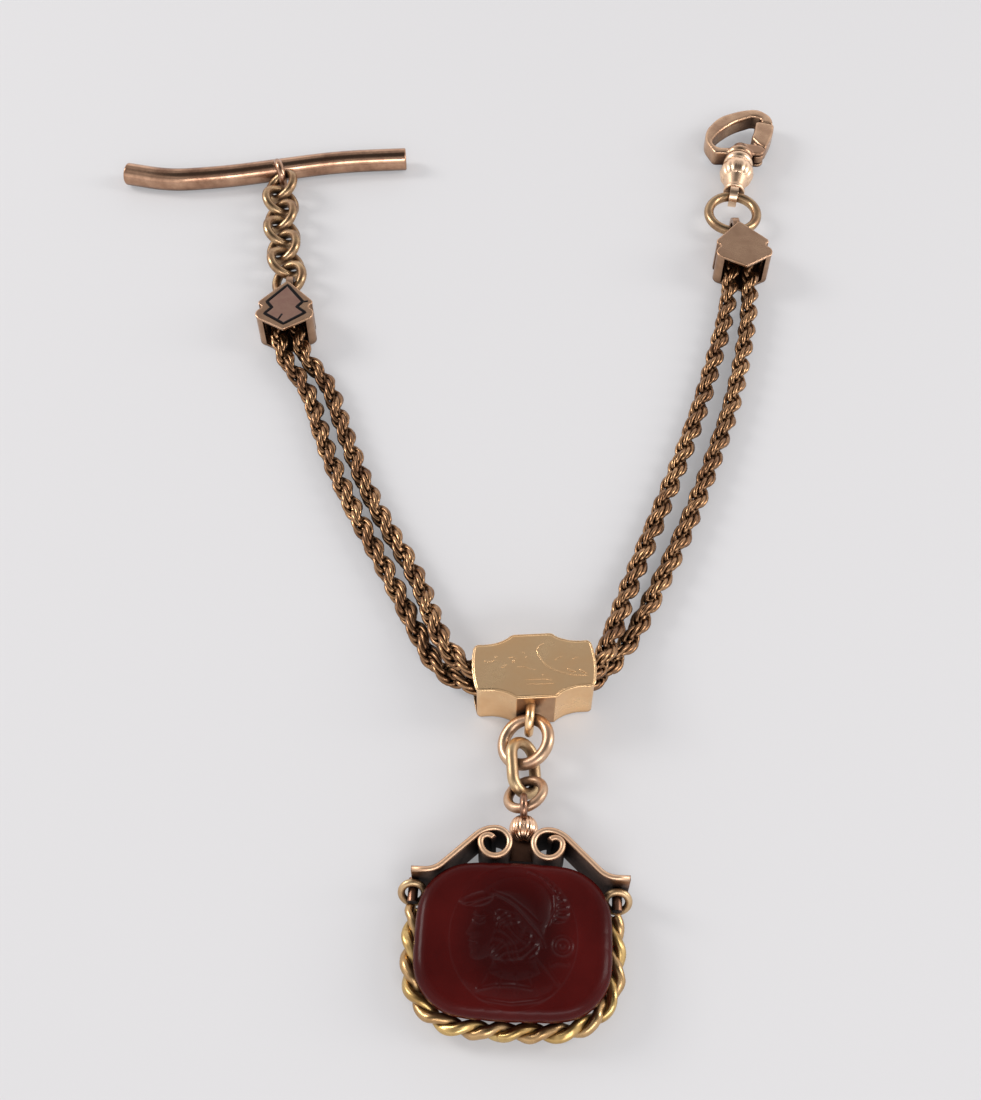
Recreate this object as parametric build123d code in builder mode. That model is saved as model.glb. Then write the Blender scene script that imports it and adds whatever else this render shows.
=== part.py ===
from build123d import *

import math
import os

# A fob seal on its double rope chain, lying flat on a surface. Sizes are in millimetres.
# X is to the right, Y runs from the seal towards the bar and the clasp, Z is up.
# The origin lies under the middle of the whole piece, on the surface.

os.makedirs("parts", exist_ok=True)

# Play left between pieces that hang in each other or lie side by side
play = 0.1

# Bar for the buttonhole, with a wire eye soldered to its underside
bar_dia = 2.8
bar_edge = 0.2
bar_route = [(-42.41, 49.12), (-36.61, 47.77), (-29.31, 48.52), (-15.01, 51.52), (-6.21, 52.07)]
bar_eye_radius = 1.55
bar_eye_wire = 1.0
bar_eye_centre = (-22.32, 48.11, 2.07)
bar_eye_facing = 70.5

# Short chain between the bar and the left cap
chain_links = 7
link_length = 5.25
link_width = 5.0
link_wire = 1.1
chain_top = (-22.1, 47.35, 1.93)
chain_foot = (-19.17, 27.7, 1.68)
chain_bow = 0.55
link_roll = 32

# Rope chains, each a single strand that runs from cap to cap through the slide
rope_dia = 2.0
rope_rest = rope_dia / 2 + 0.03
rope_in_cap = 1.6
rope_low = 1.5
rope_high = 3.7
rope_inner_route = [
    (-18.01, 21.72, rope_in_cap),
    (-17.16, 16.82, rope_rest + 0.4),
    (-13.76, 13.22, rope_rest),
    (-11.41, 5.62, rope_rest),
    (-7.91, -4.08, rope_rest),
    (-2.51, -14.08, rope_rest + 0.1),
    (-0.86, -19.98, 2.6),
    (0.89, -24.48, 3.4),
    (3.69, -26.83, rope_high),
    (9.19, -26.73, rope_high + 0.05),
    (14.99, -26.95, rope_high),
    (16.42, -23.28, 3.15),
    (19.09, -15.28, 1.5),
    (23.49, -4.28, rope_rest),
    (27.39, 5.72, rope_rest),
    (30.49, 15.02, rope_rest),
    (33.69, 25.92, rope_rest + 0.4),
    (34.46, 32.12, rope_in_cap),
]
rope_outer_route = [
    (-20.14, 21.72, rope_in_cap),
    (-19.71, 17.02, rope_rest + 0.35),
    (-15.76, 11.82, rope_rest),
    (-13.66, 4.12, rope_rest),
    (-10.11, -4.58, rope_rest),
    (-6.01, -12.68, rope_rest),
    (-2.31, -20.78, rope_rest),
    (-0.21, -25.08, rope_rest + 0.1),
    (3.79, -27.18, rope_low),
    (9.19, -27.28, rope_low + 0.05),
    (14.39, -27.18, rope_low),
    (18.49, -22.28, rope_rest + 0.05),
    (21.79, -15.78, rope_rest),
    (25.79, -7.28, rope_rest),
    (29.89, 3.02, rope_rest),
    (32.99, 11.82, rope_rest),
    (36.09, 24.72, rope_rest + 0.3),
    (36.61, 32.12, rope_in_cap),
]

# End caps, box shaped, seen from above like a shield with a notch in each side
cap_height = 4.4
cap_wall = 0.35
cap_edge = 0.12
cap_half_width = 3.1
cap_shoulder = 4.5
cap_tip = 7.9
cap_mouth_half = 2.5
cap_loop_bore = 1.05
cap_loop_strap = 0.62
cap_loop_width = 0.8
cap_loop_height = 1.7
left_cap_place = (-18.96, 18.15)
left_cap_turn = 1.2
right_cap_place = (35.6, 28.6)
right_cap_turn = 1.2

# Box slide that both ropes run through, with a staple for the seal on its south side
slide_place = (9.0, -26.82)
slide_turn = 3
slide_half_length = 5.47
slide_bow = 0.3
slide_flat = 1.85
slide_half_depth = 3.35
slide_mouth_half = 2.42
slide_cove = 4.5
slide_height = 5.4
slide_wall = 0.3
slide_corner = 0.45
slide_edge = 0.18
staple_wire = 0.84
staple_half = 1.28
staple_straight = 0.81
staple_height = 2.4
staple_x = 8.69

# Links between the slide and the seal: centre, yaw, tilt, roll, length, width and wire
drop_links = {
    "drop_ring": ((8.19, -33.16, 2.12), 0, -0.3, 26.0, 5.77, 5.77, 1.15),
    "drop_link": ((7.95, -35.69, 1.77), 3.3, 5.8, -43.2, 6.01, 4.04, 1.10),
    "seal_ring": ((8.1, -38.51, 2.16), 0, -24.2, 22.6, 4.35, 4.35, 0.90),
}

# Seal, turned a little on the surface; its own axes start at the middle of the stone
stone_north = (6.81, -45.53)
seal_turn = -2.7
stone_half_width = 8.4
stone_half_height = 6.7
seal_place = (stone_north[0], stone_north[1] - stone_half_height)
stone_side_bulge = 0.35
stone_end_bulge = 0.5
stone_corner = 4.7
stone_base = 0.15
stone_waist = 2.25
stone_girdle = 2.9
stone_shoulder = 3.45
stone_top = 4.15
stone_base_inset = 1.6
stone_waist_inset = 0.5
stone_shoulder_inset = 0.12
stone_table_inset = 0.95
medallion_half_width = 5.1
medallion_half_height = 5.85
medallion_depth = 0.12

# Twisted wires round three sides of the stone
twist_wire = 0.84
twist_gap = 0.08
twist_pitch = 4.6
twist_rest = 1.25
twist_to_stone = 0.52
twist_top = stone_half_height - 3.63
twist_sides = 8
twist_steps = 11

# Yoke: a strap on edge, from end plate to end plate over two scrolls, with a ball between them
yoke_shift = 0.42
yoke_depth = 4.1
yoke_strap = 0.46
yoke_half_span = stone_half_width + 1.1
yoke_plate = stone_half_height - 1.15
scroll_centre = (stone_half_width - 6.07, stone_half_height + 1.65)
scroll_radius = 1.28
scroll_shoulder_radius = 2.4
scroll_curl_radius = 0.62
strap_slope = 44.5
strap_foot_radius = 2.2
ball_dia = 2.45
ball_place = (0.57, stone_half_height + 3.86)
ball_height = 1.81
web_half_width = scroll_centre[0] - scroll_radius
web_low = 0.85
web_height = 0.8
web_reach = 0.8
ball_loop_radius = 0.95
ball_loop_wire = 0.66
ball_loop_reach = 1.95
ball_loop_rise = 29.4
shank_radius = 0.45
shank_height = 1.6
shank_foot = twist_top + 0.35
shank_ring_radius = 1.02
shank_ring_wire = 0.66
shank_ring_lean = 35
shank_ring_drop = 0.6

# Ring between the right cap and the swivel
swivel_ring_radius = 3.0
swivel_ring_wire = 1.2
swivel_ring_place = (35.49, 40.77, 1.88)
swivel_ring_tilt = 4.1

# Swivel clasp; its own axes start at the top of the collar, Y along the clasp
clasp_place = (37.79, 53.32)
clasp_turn = -11.5
ball_swivel_radius = 2.1
clasp_height = ball_swivel_radius
barrel_ball = -5.2
barrel_top = -2.65
foot_lug = -9.72
foot_lug_radius = 1.3
foot_lug_bore = 0.8
foot_lug_width = 1.0
foot_disc_radius = 1.35
stem_radius = 0.6
stem_play = 0.05
stem_head_radius = 1.05
stem_head_length = 0.7
collar_radius = 1.9
hook_low = 0.9
hook_high = 3.1
hook_edge = 0.3
hinge_place = (2.25, -1.0)
hinge_pin_radius = 0.3
hinge_play = 0.05
hinge_eye_radius = 0.92
hinge_tongue_low = 1.45
hinge_tongue_high = 2.55
gate_reach = 5.75
hook_clear_left = 0.55
fork_pocket = 1.45


def corner_radii(points):
    """Largest even radii for a route: 0.45 of the shorter run over the tangent of half the turn."""
    radii = []
    for before, corner, after in zip(points[:-2], points[1:-1], points[2:]):
        run_in = Vector(corner) - Vector(before)
        run_out = Vector(after) - Vector(corner)
        half_turn = math.radians(run_in.get_angle(run_out) / 2)
        radii.append(0.45 * min(run_in.length, run_out.length) / math.tan(half_turn))
    return radii


def posed(centre, yaw=0, tilt=0, roll=0):
    """Plane of a ring: yaw turns it on the surface, tilt lifts its far side, roll its right side."""
    directions = []
    for axis in (Vector(1, 0, 0), Vector(0, 0, 1)):
        directions.append(axis.rotate(Axis.Y, -roll).rotate(Axis.X, tilt).rotate(Axis.Z, yaw))
    return Plane(origin=centre, x_dir=directions[0], z_dir=directions[1])


def upright(plane):
    """The plane that stands on a piece's length: its X along the piece, its Y upwards."""
    return Plane(origin=plane.origin, x_dir=plane.y_dir, z_dir=plane.x_dir)


def tube(label, points, dia):
    """Round bar or rope along straight runs joined by tangent arcs."""
    radii = corner_radii(points)
    with BuildPart() as bar:
        with BuildLine() as route:
            FilletPolyline(*points, radius=radii)
        path = route.wire()
        with BuildSketch(Plane(origin=path @ 0, z_dir=path % 0)):
            Circle(dia / 2)
        sweep(path=path)
    section = math.pi * dia * dia / 4
    print(label, "length", round(path.length, 2), "radii", [round(r, 1) for r in radii])
    print(label, "volume over section and length", round(bar.part.volume / section / path.length, 4))
    return bar.part


def racetrack(plane, length, width, wire):
    """Closed wire link, its long way along the plane's Y."""
    radius = (width - wire) / 2
    half = max((length - width) / 2, 0.001)
    with BuildPart() as link:
        with BuildLine(plane) as route:
            Line((radius, -half), (radius, half))
            CenterArc((0, half), radius, 0, 180)
            Line((-radius, half), (-radius, -half))
            CenterArc((0, -half), radius, 180, 180)
        with BuildSketch(Plane(origin=plane.from_local_coords((radius, 0, 0)), z_dir=plane.y_dir)):
            Circle(wire / 2)
        sweep(path=route.wire())
    return link.part


def ring(plane, radius, wire):
    """Closed round ring."""
    with BuildPart() as hoop:
        with Locations(plane):
            Torus(radius, wire / 2)
    return hoop.part


def save(part, label):
    part.label = label
    export_step(part, "parts/" + label + ".step")
    return part


# The bar
with BuildPart() as t_bar:
    with BuildLine(Plane.XY.offset(bar_dia / 2)) as bar_line:
        FilletPolyline(*bar_route, radius=corner_radii(bar_route))
    with BuildSketch(Plane(origin=bar_line.wire() @ 0, z_dir=bar_line.wire() % 0)):
        Circle(bar_dia / 2)
    sweep(path=bar_line.wire())
    bar_ends = t_bar.faces().filter_by(GeomType.PLANE)
    fillet(bar_ends.edges(), radius=bar_edge)
    with Locations(Plane(origin=bar_eye_centre, x_dir=(0, 0, 1),
                         z_dir=Vector(1, 0, 0).rotate(Axis.Z, 90 - bar_eye_facing))):
        Torus(bar_eye_radius, bar_eye_wire / 2)
save(t_bar.part, "t_bar")

# The short chain
chain_start = Vector(chain_top)
chain_run = Vector(chain_foot) - chain_start
chain_yaw = math.degrees(math.atan2(chain_run.Y, chain_run.X)) + 90
chain_side = Vector(1, 0, 0).rotate(Axis.Z, chain_yaw)
for number in range(chain_links):
    share = (number + 0.5) / chain_links
    centre = chain_start + chain_run * share - chain_side * (chain_bow * 4 * share * (1 - share))
    roll = link_roll if number % 2 == 0 else -link_roll
    bend = math.degrees(math.asin(-chain_bow * 4 * (1 - 2 * share) / chain_run.length))
    link = racetrack(posed(centre, chain_yaw + bend, 0, roll), link_length, link_width, link_wire)
    save(link, "t_chain_link_" + str(number + 1))

# The ropes
save(tube("rope_inner", rope_inner_route, rope_dia), "rope_inner")
save(tube("rope_outer", rope_outer_route, rope_dia), "rope_outer")


def cap_outline(inset):
    """Outline of a cap from its point to its tip: lobe, notch and shoulder, drawn in by the inset."""
    half = cap_half_width - inset
    slope = (cap_tip - cap_shoulder) / cap_half_width
    tip = cap_tip - inset * math.hypot(1, slope)
    shoulder = tip - slope * half
    lobe = (half - 0.5, 1.6)
    notch_low = (half - 0.12, 3.25)
    notch_high = (half, shoulder - 0.4)
    with BuildLine() as line:
        Line((0, 0), lobe)
        ThreePointArc(lobe, (half + 0.2, 2.35), notch_low)
        ThreePointArc(notch_low, (half - 0.4, 3.65), notch_high)
        Line(notch_high, (half, shoulder))
        Line((half, shoulder), (0, tip))
        mirror(about=Plane.YZ)
    return make_face(line.edges(), mode=Mode.PRIVATE)


def make_cap(label, place, turn):
    plane = Plane(origin=(place[0], place[1], 0), x_dir=Vector(1, 0, 0).rotate(Axis.Z, turn))
    outline = cap_outline(0)
    hollow = cap_outline(cap_wall)
    loop_centre = cap_tip + cap_loop_bore + 0.15
    with BuildPart() as cap:
        with BuildSketch(plane):
            add(outline)
        extrude(amount=cap_height)
        rims = cap.faces().filter_by(Axis.Z).edges()
        fillet(rims, radius=cap_edge)
        with BuildSketch(plane.offset(cap_wall)):
            add(hollow)
            with Locations((0, 1.0)):
                Rectangle(2 * cap_mouth_half, 4.2)
        extrude(amount=cap_height - 2 * cap_wall, mode=Mode.SUBTRACT)
        loop_plane = upright(Plane(origin=plane.from_local_coords((0, loop_centre, cap_loop_height)),
                                   x_dir=plane.x_dir, z_dir=plane.z_dir))
        with BuildSketch(loop_plane):
            Circle(cap_loop_bore + cap_loop_strap)
            Circle(cap_loop_bore, mode=Mode.SUBTRACT)
        extrude(amount=cap_loop_width / 2, both=True)
    return save(cap.part, label)


left_cap = make_cap("left_cap", left_cap_place, left_cap_turn)
right_cap = make_cap("right_cap", right_cap_place, right_cap_turn)


def slide_outline(inset):
    """Outline of the slide: flats in the middle, coves, square shoulders and bowed ends."""
    flat = (slide_flat, slide_half_depth - inset)
    cove = (slide_cove, slide_mouth_half - inset)
    middle = ((flat[0] + cove[0]) / 2 - 0.2, (flat[1] + cove[1]) / 2 - 0.2)
    shoulder = (slide_half_length, slide_mouth_half - inset)
    with BuildLine() as line:
        Line((0, flat[1]), flat)
        ThreePointArc(flat, middle, cove)
        Line(cove, shoulder)
        ThreePointArc(shoulder, (slide_half_length + slide_bow * 0.75, shoulder[1] / 2),
                      (slide_half_length + slide_bow, 0))
        mirror(about=Plane.XZ)
        mirror(about=Plane.YZ)
    face = make_face(line.edges(), mode=Mode.PRIVATE).face()
    corners = face.vertices().filter_by(lambda v: abs(abs(v.X) - slide_half_length) < 0.01)
    return face.fillet_2d(slide_corner, corners)


# The slide
slide_plane = Plane(origin=(slide_place[0], slide_place[1], 0), x_dir=Vector(1, 0, 0).rotate(Axis.Z, slide_turn))
slide_face = slide_outline(0)
slide_hollow = slide_outline(slide_wall)
with BuildPart() as centre_slide:
    with BuildSketch(slide_plane):
        add(slide_face)
    extrude(amount=slide_height)
    slide_rims = centre_slide.faces().filter_by(Axis.Z).edges()
    fillet(slide_rims, radius=slide_edge)
    with BuildSketch(slide_plane.offset(slide_wall)):
        add(slide_hollow)
        Rectangle(2 * (slide_half_length + 1), 2 * (slide_mouth_half - slide_wall))
    extrude(amount=slide_height - 2 * slide_wall, mode=Mode.SUBTRACT)
    staple_plane = Plane(origin=(staple_x, slide_place[1] - slide_half_depth, staple_height),
                         x_dir=(-0.1, -1, 0), z_dir=(-1, 0.1, 0))
    with BuildLine(staple_plane) as staple:
        Line((-slide_wall * 0.6, -staple_half), (staple_straight, -staple_half))
        CenterArc((staple_straight, 0), staple_half, -90, 180)
        Line((staple_straight, staple_half), (-slide_wall * 0.6, staple_half))
    with BuildSketch(Plane(origin=staple.wire() @ 0, z_dir=staple.wire() % 0)):
        Circle(staple_wire / 2)
    sweep(path=staple.wire())
save(centre_slide.part, "centre_slide")

# The links that the seal hangs on
for label, (centre, yaw, tilt, roll, length, width, wire) in drop_links.items():
    if length == width:
        save(ring(posed(centre, yaw, tilt, roll), (width - wire) / 2, wire), label)
    else:
        save(racetrack(posed(centre, yaw, tilt, roll), length, width, wire), label)

# The seal's own axes
seal_plane = Plane(origin=(seal_place[0], seal_place[1], 0), x_dir=Vector(1, 0, 0).rotate(Axis.Z, seal_turn))


def cushion(inset):
    """Outline of the stone: four bowed sides with rounded corners, drawn in by the inset."""
    wide = stone_half_width - inset
    high = stone_half_height - inset
    corner = (wide - stone_side_bulge, high - stone_end_bulge)
    with BuildSketch() as outline:
        with BuildLine():
            ThreePointArc((corner[0], -corner[1]), (wide, 0), corner)
            ThreePointArc(corner, (0, high), (-corner[0], corner[1]))
            ThreePointArc((-corner[0], corner[1]), (-wide, 0), (-corner[0], -corner[1]))
            ThreePointArc((-corner[0], -corner[1]), (0, -high), (corner[0], -corner[1]))
        make_face()
        fillet(outline.vertices(), radius=stone_corner - inset * 0.5)
    return outline.sketch


# The stone, with its sunk medallion
stone_levels = [
    (stone_base, cushion(stone_base_inset)),
    (stone_waist, cushion(stone_waist_inset)),
    (stone_girdle, cushion(0)),
    (stone_shoulder, cushion(stone_shoulder_inset)),
    (stone_top, cushion(stone_table_inset)),
]
with BuildPart() as seal_stone:
    for height, outline in stone_levels:
        with BuildSketch(seal_plane.offset(height)):
            add(outline)
    loft(ruled=True)
    with BuildSketch(seal_plane.offset(stone_top)):
        Ellipse(medallion_half_width, medallion_half_height)
    extrude(amount=-medallion_depth, mode=Mode.SUBTRACT)
save(seal_stone.part, "seal_stone")


def frame_line():
    """Line of the twisted wires: up the left, along the foot and up the right of the stone."""
    wide = stone_half_width + twist_to_stone
    high = stone_half_height + twist_to_stone
    corner = (wide - stone_side_bulge, high - stone_end_bulge)
    with BuildLine() as line:
        left = ThreePointArc((-wide, twist_top), (-wide - 0.02, 0), (-corner[0], -corner[1]))
        foot = ThreePointArc((-corner[0], -corner[1]), (0, -high), (corner[0], -corner[1]))
        right = ThreePointArc((corner[0], -corner[1]), (wide + 0.02, 0), (wide, twist_top))
    wire = Wire([left, foot, right])
    return wire.fillet_2d(stone_corner + twist_to_stone * 0.5, [wire.vertices()[1], wire.vertices()[2]])


def twisted(label, phase):
    """One of the two twisted wires, as many sided sections joined by flat strips."""
    line = frame_line()
    turns = line.length / twist_pitch
    count = round(turns * twist_steps)
    helix = (twist_wire + twist_gap) / 2
    with BuildPart() as wire:
        for step in range(count + 1):
            share = step / count
            point = line @ share
            ahead = line % share
            across = Vector(ahead.Y, -ahead.X, 0)
            angle = 2 * math.pi * turns * share + phase
            centre = Vector(point.X, point.Y, twist_rest) + across * (helix * math.cos(angle))
            centre = centre + Vector(0, 0, helix * math.sin(angle))
            swing = Vector(0, 0, 1) * math.cos(angle) - across * math.sin(angle)
            way = ahead + swing * (2 * math.pi * helix / twist_pitch)
            section = Plane(origin=centre, x_dir=Vector(0, 0, 1).cross(way), z_dir=way)
            with BuildSketch(Plane(seal_plane.location * section.location)):
                RegularPolygon(twist_wire / 2, twist_sides)
        loft(ruled=True)
    return save(wire.part, label)


seal_wire_plain = twisted("seal_wire_plain", 0)
seal_wire_ridged = twisted("seal_wire_ridged", math.pi)


def yoke_line():
    """Middle of the strap's right half, from the scroll's curl to the end plate."""
    curl = (scroll_centre[0] + scroll_radius - scroll_curl_radius, scroll_centre[1])
    crown = (scroll_centre[0], scroll_centre[1] + scroll_radius)
    shoulder = (crown[0], crown[1] - scroll_shoulder_radius)
    slope = math.radians(strap_slope)
    top = (shoulder[0] + scroll_shoulder_radius * math.sin(slope),
           shoulder[1] + scroll_shoulder_radius * math.cos(slope))
    foot_y = yoke_plate + strap_foot_radius * (1 - math.cos(slope))
    foot_x = top[0] + (top[1] - foot_y) / math.tan(slope)
    foot_centre = (foot_x + strap_foot_radius * math.sin(slope), yoke_plate + strap_foot_radius)
    with BuildLine() as line:
        CenterArc(curl, scroll_curl_radius, 0, 150)
        CenterArc(scroll_centre, scroll_radius, 90, 270)
        CenterArc(shoulder, scroll_shoulder_radius, 90 - strap_slope, strap_slope)
        Line(top, (foot_x, foot_y))
        CenterArc(foot_centre, strap_foot_radius, 270 - strap_slope, strap_slope)
        Line((foot_centre[0], yoke_plate), (yoke_half_span, yoke_plate))
    return line


# The yoke with its ball, the ball's loop and the two shanks
strap = yoke_line()
yoke_plane = Plane(origin=seal_plane.from_local_coords((yoke_shift, 0, 0)), x_dir=seal_plane.x_dir)
with BuildPart() as seal_yoke:
    with BuildSketch(yoke_plane) as strap_face:
        for edge in strap.edges():
            trace(edge, line_width=yoke_strap)
        mirror(about=Plane.YZ)
    extrude(amount=yoke_depth)
    ball_plane = Plane(origin=seal_plane.from_local_coords((ball_place[0], ball_place[1], ball_height)),
                       x_dir=seal_plane.x_dir)
    with Locations(ball_plane):
        Sphere(ball_dia / 2)
    with BuildSketch(yoke_plane.offset(web_low)):
        with Locations((0, (scroll_centre[1] - web_reach + ball_place[1] - web_reach) / 2)):
            Rectangle(2 * web_half_width, ball_place[1] - scroll_centre[1])
    extrude(amount=web_height)
    rise = math.radians(ball_loop_rise)
    loop_at = ball_plane.origin + Vector(0, math.cos(rise), math.sin(rise)) * ball_loop_reach
    with Locations(Plane(origin=loop_at, z_dir=(1, 0, 0))):
        Torus(ball_loop_radius, ball_loop_wire / 2)
    for side in (-1, 1):
        shank_x = side * (stone_half_width + twist_to_stone)
        shank_top = seal_plane.from_local_coords((shank_x, yoke_plate, shank_height))
        with BuildSketch(Plane(origin=shank_top, z_dir=-seal_plane.y_dir)):
            Circle(shank_radius)
        extrude(amount=yoke_plate - shank_foot)
save(seal_yoke.part, "seal_yoke")

# A small ring round each shank
for side, label in ((-1, "shank_ring_left"), (1, "shank_ring_right")):
    shank_x = side * (stone_half_width + twist_to_stone)
    ring_at = seal_plane.from_local_coords((shank_x, yoke_plate - shank_ring_drop - shank_ring_wire,
                                            shank_height))
    save(ring(posed(ring_at, seal_turn, 90 - shank_ring_lean, 0), shank_ring_radius, shank_ring_wire), label)

# The ring of the swivel
save(ring(posed(swivel_ring_place, 0, swivel_ring_tilt, 0), swivel_ring_radius, swivel_ring_wire), "swivel_ring")

# The clasp's own axes, level with the middle of its barrel
clasp_plane = Plane(origin=(clasp_place[0], clasp_place[1], clasp_height),
                    x_dir=Vector(1, 0, 0).rotate(Axis.Z, clasp_turn))
clasp_floor = clasp_plane.offset(-clasp_height)
clasp_axis = Axis(clasp_plane.origin, clasp_plane.y_dir)

# The barrel: foot lug, flared foot, neck, ball and bead, bored for the hook's stem
with BuildPart() as swivel_barrel:
    with BuildSketch(clasp_plane):
        with BuildLine():
            foot_low = foot_lug + 0.72
            foot_high = foot_low + 0.5
            neck = (1.1, foot_high + 0.45)
            ball_low = (1.55, barrel_ball - 1.42)
            ball_high = (1.62, barrel_ball + 1.34)
            bead_low = (1.62, ball_high[1] + 0.05)
            bead_high = (1.6, barrel_top)
            Line((0, foot_low), (foot_disc_radius - 0.3, foot_low))
            ThreePointArc((foot_disc_radius - 0.3, foot_low), (foot_disc_radius, (foot_low + foot_high) / 2),
                          (foot_disc_radius - 0.3, foot_high))
            Line((foot_disc_radius - 0.3, foot_high), neck)
            Line(neck, ball_low)
            ThreePointArc(ball_low, (ball_swivel_radius, barrel_ball), ball_high)
            Line(ball_high, bead_low)
            ThreePointArc(bead_low, (collar_radius, (bead_low[1] + bead_high[1]) / 2), bead_high)
            Line(bead_high, (0, barrel_top))
            Line((0, barrel_top), (0, foot_low))
        make_face()
    revolve(axis=clasp_axis)
    lug_plane = Plane(origin=clasp_plane.from_local_coords((0, foot_lug, 0)), x_dir=clasp_plane.y_dir,
                      z_dir=clasp_plane.x_dir)
    with BuildSketch(lug_plane):
        Circle(foot_lug_radius)
    extrude(amount=foot_lug_width / 2, both=True)
    with BuildSketch(lug_plane):
        Circle(foot_lug_bore)
    extrude(amount=foot_disc_radius + 1, both=True, mode=Mode.SUBTRACT)
    bore_plane = Plane(origin=clasp_plane.from_local_coords((0, barrel_top, 0)), z_dir=-clasp_plane.y_dir)
    head_top = barrel_ball + 0.6
    with BuildSketch(bore_plane):
        Circle(stem_radius + stem_play)
    extrude(amount=barrel_top - head_top, mode=Mode.SUBTRACT)
    with BuildSketch(bore_plane.offset(barrel_top - head_top)):
        Circle(stem_head_radius + stem_play)
    extrude(amount=stem_head_length + 2 * stem_play, mode=Mode.SUBTRACT)
save(swivel_barrel.part, "swivel_barrel")


def rounded(points, share=0.42):
    """Closed outline with a tangent arc at every corner, as large as its runs allow."""
    looped = [points[-1]] + points + [points[0]]
    radii = []
    for before, corner, after in zip(looped[:-2], looped[1:-1], looped[2:]):
        run_in = Vector(corner) - Vector(before)
        run_out = Vector(after) - Vector(corner)
        half_turn = math.radians(run_in.get_angle(run_out) / 2)
        radii.append(share * min(run_in.length, run_out.length) / math.tan(half_turn))
    with BuildLine() as line:
        FilletPolyline(*points, radius=radii, close=True)
    return make_face(line.edges(), mode=Mode.PRIVATE)


# Outlines of the clasp's loop and gate, in the clasp's own axes
hook_outer = rounded([(-0.6, -2.45), (-2.2, -2.5), (-3.2, -2.75), (-4.75, -0.3), (-4.8, 1.9), (-3.45, 4.9),
                      (-0.6, 6.85), (1.6, 7.6), (3.6, 6.2), (4.0, 2.7), (3.1, -1.2), (1.2, -2.3)])
hook_inner = rounded([(-0.7, -1.1), (-2.9, -1.55), (-3.85, -0.5), (-3.2, 1.5), (-1.4, 4.1), (1.2, 6.0), (2.3, 5.5),
                      (1.5, 1.5), (1.1, -0.8)])
gate_outline = rounded([(1.2, 1.45), (1.45, 2.6), (1.55, 7.0), (4.0, 7.0), (3.95, 2.7), (3.25, -0.6),
                        (2.15, 0.3)], 0.3)

hook_plane = clasp_floor.offset(hook_low)
hinge_plane = Plane(origin=clasp_floor.from_local_coords((hinge_place[0], hinge_place[1], 0)),
                    x_dir=clasp_plane.x_dir)
hook_thickness = hook_high - hook_low
fork_leaf = hinge_tongue_low - play - hook_low

# The hook: loop, collar, stem with its head in the barrel, and the fork with the gate's pin
with BuildPart() as swivel_hook:
    with BuildSketch(hook_plane):
        add(hook_outer)
        add(hook_inner, mode=Mode.SUBTRACT)
    extrude(amount=hook_thickness)
    hook_rims = swivel_hook.faces().filter_by(Axis.Z).edges()
    fillet(hook_rims, radius=hook_edge)
    with BuildSketch(hinge_plane):
        Circle(gate_reach + play)
        with Locations((hook_clear_left - hinge_place[0] - 10, 0)):
            Rectangle(20, 20, mode=Mode.SUBTRACT)
    extrude(amount=cap_height, mode=Mode.SUBTRACT)
    with BuildSketch(clasp_plane):
        with BuildLine():
            bead_foot = (1.6, barrel_top + play)
            bead_top = (1.5, barrel_top + 1.3)
            Line((0, barrel_top + play), bead_foot)
            ThreePointArc(bead_foot, (collar_radius, barrel_top + 0.7), bead_top)
            Line(bead_top, (0.95, 0.1))
            Line((0.95, 0.1), (0, 0.1))
            Line((0, 0.1), (0, barrel_top + play))
        make_face()
    revolve(axis=clasp_axis)
    with BuildSketch(bore_plane.offset(-2 * play)):
        Circle(stem_radius)
    extrude(amount=barrel_top - head_top + 2 * play + stem_play + 0.2)
    with BuildSketch(bore_plane.offset(barrel_top - head_top + stem_play)):
        Circle(stem_head_radius)
    extrude(amount=stem_head_length)
    with BuildSketch(hinge_plane.offset(hook_low + fork_leaf)):
        Circle(fork_pocket)
    extrude(amount=hinge_tongue_high - hinge_tongue_low + 2 * play, mode=Mode.SUBTRACT)
    for leaf_low in (hook_low, hinge_tongue_high + play):
        with BuildSketch(hinge_plane.offset(leaf_low)):
            Circle(hinge_eye_radius)
            with Locations((-hinge_eye_radius, 0)):
                Rectangle(2 * hinge_eye_radius, 2 * hinge_eye_radius)
        extrude(amount=fork_leaf)
    with BuildSketch(hinge_plane.offset(hook_low)):
        Circle(hinge_pin_radius)
    extrude(amount=hook_thickness)
save(swivel_hook.part, "swivel_hook")

# The sprung gate, which closes the loop from the hinge to the hook's nose
with BuildPart() as swivel_gate:
    with BuildSketch(hook_plane):
        add(gate_outline)
    extrude(amount=hook_thickness)
    gate_rims = swivel_gate.faces().filter_by(Axis.Z).edges()
    fillet(gate_rims, radius=hook_edge)
    with BuildSketch(hinge_plane):
        Circle(gate_reach)
        Circle(hinge_eye_radius + play, mode=Mode.SUBTRACT)
    extrude(amount=cap_height, mode=Mode.INTERSECT)
    with BuildSketch(hinge_plane.offset(hinge_tongue_low)):
        Circle(hinge_eye_radius)
        with Locations((0.1, hinge_eye_radius)):
            Rectangle(2 * hinge_eye_radius - 0.3, 2 * hinge_eye_radius)
        Circle(hinge_pin_radius + hinge_play, mode=Mode.SUBTRACT)
    extrude(amount=hinge_tongue_high - hinge_tongue_low)
save(swivel_gate.part, "swivel_gate")
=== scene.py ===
import math

import bmesh
import bpy
import numpy as np
from mathutils import Matrix, Vector


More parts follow.
